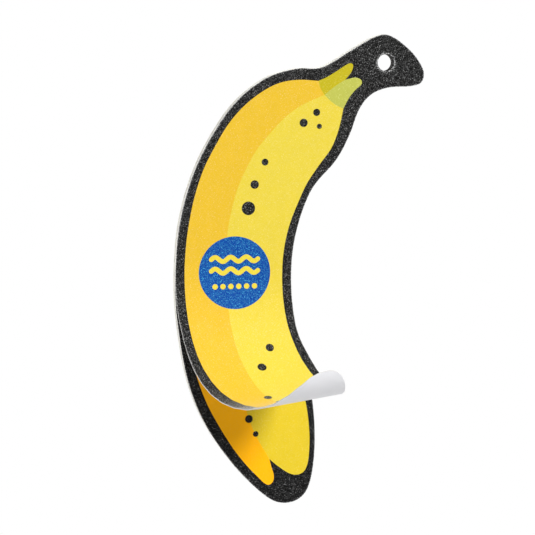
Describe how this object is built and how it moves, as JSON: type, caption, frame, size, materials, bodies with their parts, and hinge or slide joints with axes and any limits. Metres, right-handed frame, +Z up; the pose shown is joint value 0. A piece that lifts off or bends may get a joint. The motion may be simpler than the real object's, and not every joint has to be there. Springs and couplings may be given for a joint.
{
  "type": "peel-layer hand board",
  "caption": "Thin banana-shaped cushioned hand board with a hanging hole, gritty printed faces and a top sheet that peels off in a curl.",
  "frame": {"origin": "centre of the hanging hole, at mid thickness of the laminate", "axes": "+Z up along the board, towards the stem end; -Y is the front, peelable face; +X to the viewer's right"},
  "size_m": [0.0918, 0.0604, 0.1701],
  "materials": {
    "printed_sheet": "gritty printed film, white satin back",
    "foam": "closed-cell foam, die-cut edge",
    "bond_film": "clear double-sided film",
    "core": "matt plastic sheet"
  },
  "bodies": {
    "board": {"top_sheet_stem": "printed_sheet", "second_sheet": "printed_sheet", "front_foam": "foam", "front_bond_film": "bond_film", "stiffener": "core", "back_bond_film": "bond_film", "back_foam": "foam", "back_sheet": "printed_sheet"},
    "stuck_1": {"top_sheet_stuck_1": "printed_sheet"},
    "stuck_2": {"top_sheet_stuck_2": "printed_sheet"},
    "stuck_3": {"top_sheet_stuck_3": "printed_sheet"},
    "stuck_4": {"top_sheet_stuck_4": "printed_sheet"},
    "flap_1": {"top_sheet_flap_1": "printed_sheet"},
    "flap_2": {"top_sheet_flap_2": "printed_sheet"},
    "flap_3": {"top_sheet_flap_3": "printed_sheet"},
    "flap_4": {"top_sheet_flap_4": "printed_sheet"},
    "flap_5": {"top_sheet_flap_5": "printed_sheet"},
    "flap_6": {"top_sheet_flap_6": "printed_sheet"},
    "flap_7": {"top_sheet_flap_7": "printed_sheet"},
    "flap_8": {"top_sheet_flap_8": "printed_sheet"},
    "flap_9": {"top_sheet_flap_9": "printed_sheet"},
    "flap_10": {"top_sheet_flap_10": "printed_sheet"},
    "flap_11": {"top_sheet_flap_11": "printed_sheet"},
    "flap_12": {"top_sheet_flap_12": "printed_sheet"},
    "flap_13": {"top_sheet_flap_13": "printed_sheet"},
    "flap_14": {"top_sheet_flap_14": "printed_sheet"},
    "flap_15": {"top_sheet_flap_15": "printed_sheet"},
    "flap_16": {"top_sheet_flap_16": "printed_sheet"}
  },
  "joints": [
    {"name": "lift_1", "type": "hinge", "parent": "board", "child": "stuck_1", "pos_m": [-0.04059, -0.0023, -0.03935], "axis": [-0.9373, 0, 0.3486], "range_deg": [0, 12]},
    {"name": "lift_2", "type": "hinge", "parent": "stuck_1", "child": "stuck_2", "pos_m": [-0.04372, -0.0023, -0.04855], "axis": [-0.9553, 0, 0.2957], "range_deg": [0, 12]},
    {"name": "lift_3", "type": "hinge", "parent": "stuck_2", "child": "stuck_3", "pos_m": [-0.04633, -0.0023, -0.05791], "axis": [-0.9703, 0, 0.2419], "range_deg": [0, 12]},
    {"name": "lift_4", "type": "hinge", "parent": "stuck_3", "child": "stuck_4", "pos_m": [-0.04842, -0.0023, -0.0674], "axis": [-0.9823, 0, 0.1874], "range_deg": [0, 12]},
    {"name": "curl_1", "type": "hinge", "parent": "stuck_4", "child": "flap_1", "pos_m": [-0.04997, -0.0023, -0.07699], "axis": [-0.9912, 0, 0.1323], "range_deg": [-5.5, 1.8]},
    {"name": "curl_2", "type": "hinge", "parent": "flap_1", "child": "flap_2", "pos_m": [-0.05061, -0.00282, -0.08239], "axis": [-0.9949, -0.003, 0.1012], "range_deg": [-6, 1.97]},
    {"name": "curl_3", "type": "hinge", "parent": "flap_2", "child": "flap_3", "pos_m": [-0.05106, -0.00391, -0.08773], "axis": [-0.9975, -0.0093, 0.0705], "range_deg": [-6.5, 2.13]},
    {"name": "curl_4", "type": "hinge", "parent": "flap_3", "child": "flap_4", "pos_m": [-0.05133, -0.0056, -0.09292], "axis": [-0.999, -0.019, 0.0407], "range_deg": [-7, 2.29]},
    {"name": "curl_5", "type": "hinge", "parent": "flap_4", "child": "flap_5", "pos_m": [-0.0514, -0.0079, -0.09788], "axis": [-0.9994, -0.0322, 0.0122], "range_deg": [-7.5, 2.46]},
    {"name": "curl_6", "type": "hinge", "parent": "flap_5", "child": "flap_6", "pos_m": [-0.05127, -0.01083, -0.10249], "axis": [-0.9987, -0.049, -0.0143], "range_deg": [-8, 2.62]},
    {"name": "curl_7", "type": "hinge", "parent": "flap_6", "child": "flap_7", "pos_m": [-0.05095, -0.01436, -0.10665], "axis": [-0.9969, -0.0693, -0.0382], "range_deg": [-8.5, 2.78]},
    {"name": "curl_8", "type": "hinge", "parent": "flap_7", "child": "flap_8", "pos_m": [-0.05045, -0.01846, -0.11024], "axis": [-0.9939, -0.0929, -0.0588], "range_deg": [-9, 2.95]},
    {"name": "curl_9", "type": "hinge", "parent": "flap_8", "child": "flap_9", "pos_m": [-0.04976, -0.02305, -0.11313], "axis": [-0.99, -0.1192, -0.0754], "range_deg": [-9.5, 3.11]},
    {"name": "curl_10", "type": "hinge", "parent": "flap_9", "child": "flap_10", "pos_m": [-0.04891, -0.02804, -0.1152], "axis": [-0.9851, -0.1479, -0.0873], "range_deg": [-10, 3.27]},
    {"name": "curl_11", "type": "hinge", "parent": "flap_10", "child": "flap_11", "pos_m": [-0.04794, -0.03329, -0.11634], "axis": [-0.9795, -0.1781, -0.0939], "range_deg": [-10.5, 3.44]},
    {"name": "curl_12", "type": "hinge", "parent": "flap_11", "child": "flap_12", "pos_m": [-0.04686, -0.03865, -0.11649], "axis": [-0.9733, -0.2089, -0.0948], "range_deg": [-11, 3.6]},
    {"name": "curl_13", "type": "hinge", "parent": "flap_12", "child": "flap_13", "pos_m": [-0.04573, -0.04392, -0.11558], "axis": [-0.9668, -0.2392, -0.0895], "range_deg": [-11.5, 3.77]},
    {"name": "curl_14", "type": "hinge", "parent": "flap_13", "child": "flap_14", "pos_m": [-0.0446, -0.04888, -0.1136], "axis": [-0.9603, -0.2677, -0.0781], "range_deg": [-12, 3.93]},
    {"name": "curl_15", "type": "hinge", "parent": "flap_14", "child": "flap_15", "pos_m": [-0.04351, -0.05332, -0.11059], "axis": [-0.9541, -0.2932, -0.0609], "range_deg": [-12.5, 4.09]},
    {"name": "curl_16", "type": "hinge", "parent": "flap_15", "child": "flap_16", "pos_m": [-0.04254, -0.057, -0.10667], "axis": [-0.9485, -0.3143, -0.0383], "range_deg": [-13, 4.26]}
  ],
  "couplings": [
    {"joint": "lift_2", "follows": "lift_1", "ratio": 1},
    {"joint": "lift_3", "follows": "lift_1", "ratio": 1},
    {"joint": "lift_4", "follows": "lift_1", "ratio": 1},
    {"joint": "curl_2", "follows": "curl_1", "ratio": 1.0909},
    {"joint": "curl_3", "follows": "curl_1", "ratio": 1.1818},
    {"joint": "curl_4", "follows": "curl_1", "ratio": 1.2727},
    {"joint": "curl_5", "follows": "curl_1", "ratio": 1.3636},
    {"joint": "curl_6", "follows": "curl_1", "ratio": 1.4545},
    {"joint": "curl_7", "follows": "curl_1", "ratio": 1.5455},
    {"joint": "curl_8", "follows": "curl_1", "ratio": 1.6364},
    {"joint": "curl_9", "follows": "curl_1", "ratio": 1.7273},
    {"joint": "curl_10", "follows": "curl_1", "ratio": 1.8182},
    {"joint": "curl_11", "follows": "curl_1", "ratio": 1.9091},
    {"joint": "curl_12", "follows": "curl_1", "ratio": 2},
    {"joint": "curl_13", "follows": "curl_1", "ratio": 2.0909},
    {"joint": "curl_14", "follows": "curl_1", "ratio": 2.1818},
    {"joint": "curl_15", "follows": "curl_1", "ratio": 2.2727},
    {"joint": "curl_16", "follows": "curl_1", "ratio": 2.3636}
  ]
}
